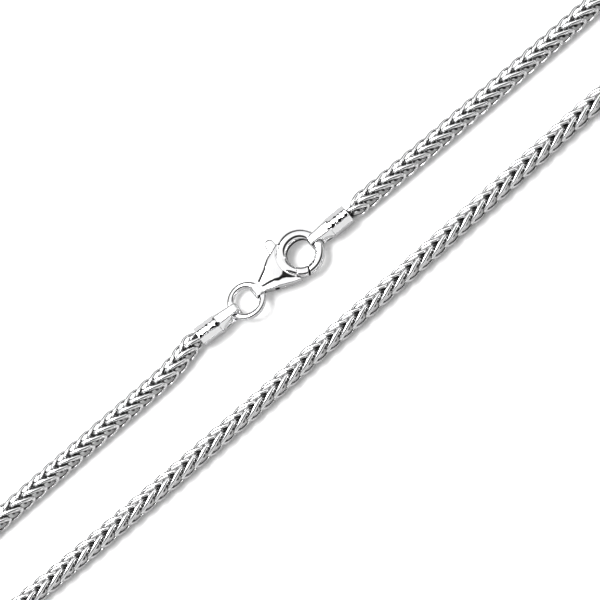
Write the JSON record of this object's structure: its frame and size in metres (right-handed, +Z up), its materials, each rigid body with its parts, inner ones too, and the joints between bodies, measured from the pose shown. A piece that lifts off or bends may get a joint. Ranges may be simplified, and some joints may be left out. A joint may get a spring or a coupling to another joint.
{
  "type": "foxtail chain necklace",
  "caption": "Closed necklace of a slim woven foxtail chain with end caps, a jump ring and a sprung lobster clasp, lying flat.",
  "frame": {"origin": "on the surface that the necklace lies on, under the middle of the whole closed loop", "axes": "+X along the two parallel strands, from the jump ring to the clasp's hook; +Y from the plain strand to the strand with the clasp; +Z up from the surface"},
  "size_m": [0.2084, 0.0306, 0.0029],
  "materials": {
    "silver_links": "polished silver wire",
    "silver_fittings": "polished cast and pressed silver"
  },
  "bodies": {
    "necklace": {"chain": "silver_links", "cap_left": "silver_fittings", "cap_right": "silver_fittings", "jump_ring": "silver_fittings", "clasp_body": "silver_fittings", "pivot_pin": "silver_fittings"},
    "lever": {"clasp_lever": "silver_fittings"}
  },
  "joints": [
    {"name": "lever_pivot", "type": "hinge", "parent": "necklace", "child": "lever", "pos_m": [0.00074, 0.00435, 0.00146], "axis": [0, 0, 1], "range_deg": [0, 28], "stiffness_Nm_per_rad": 0.002, "springref_deg": -5.73}
  ]
}
